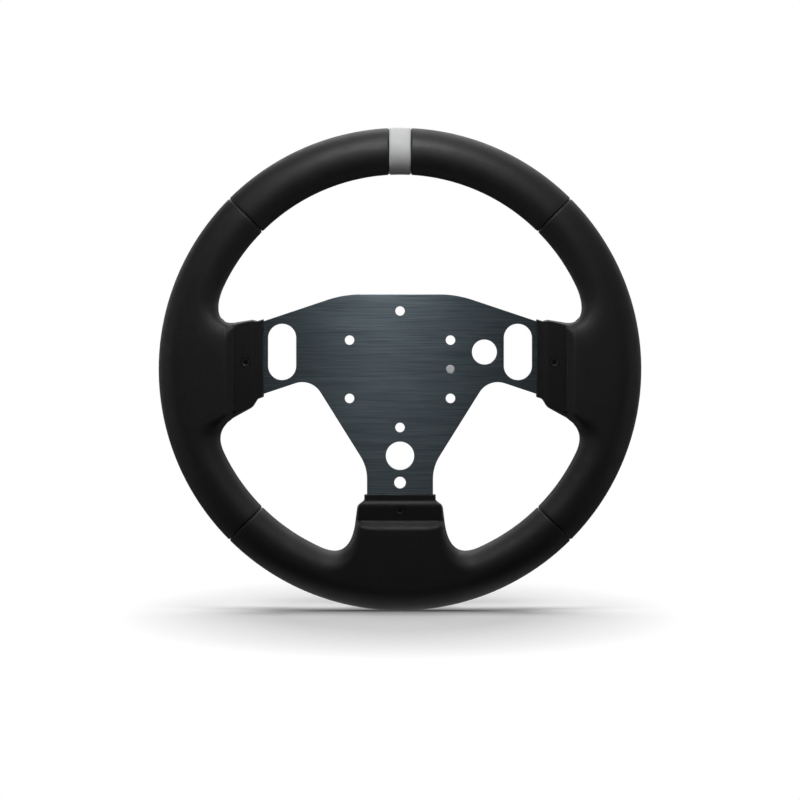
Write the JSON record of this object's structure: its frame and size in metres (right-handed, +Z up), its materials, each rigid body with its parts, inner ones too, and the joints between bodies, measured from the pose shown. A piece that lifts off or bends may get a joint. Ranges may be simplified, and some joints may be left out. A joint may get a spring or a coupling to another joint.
{
  "type": "racing wheel",
  "caption": "Round racing wheel rim with a leather-wrapped grip, a light centre band and a brushed flat spoke plate drilled to bolt to a hub.",
  "frame": {"origin": "centre of the hub bolt circle, on the spoke plate's flat rear face", "axes": "+X to the driver's right, +Y along the wheel's axis away from the driver (out of the plate's rear face), +Z up towards the centre band"},
  "size_m": [0.2896, 0.03, 0.2897],
  "materials": {
    "brushed_plate": "satin",
    "pin_steel": "satin",
    "black_leather": "satin",
    "grey_leather": "satin",
    "armature_steel": "satin",
    "grip_foam": "matte",
    "moulded_plastic": "satin",
    "black_screw": "satin",
    "insert_brass": "satin"
  },
  "bodies": {
    "root": {"spoke_plate": "brushed_plate", "locating_pin": "pin_steel", "grip_wrap_right": "black_leather", "grip_wrap_top_right": "black_leather", "grip_wrap_top_left": "black_leather", "grip_wrap_left": "black_leather", "grip_wrap_bottom": "black_leather", "centre_band": "grey_leather", "armature_hoop": "armature_steel", "hoop_bracket_right": "armature_steel", "hoop_bracket_left": "armature_steel", "hoop_bracket_bottom": "armature_steel", "tongue_rivet_right_first": "armature_steel", "tongue_rivet_right_second": "armature_steel", "tongue_rivet_left_first": "armature_steel", "tongue_rivet_left_second": "armature_steel", "tongue_rivet_bottom_first": "armature_steel", "tongue_rivet_bottom_second": "armature_steel", "foam_grip": "grip_foam", "cover_front_right": "moulded_plastic", "cover_front_left": "moulded_plastic", "cover_front_bottom": "moulded_plastic", "cover_rear_right": "moulded_plastic", "cover_rear_left": "moulded_plastic", "cover_rear_bottom": "moulded_plastic", "cover_screw_right": "black_screw", "cover_screw_left": "black_screw", "cover_screw_bottom": "black_screw", "cover_insert_right": "insert_brass", "cover_insert_left": "insert_brass", "cover_insert_bottom": "insert_brass"}
  },
  "joints": []
}
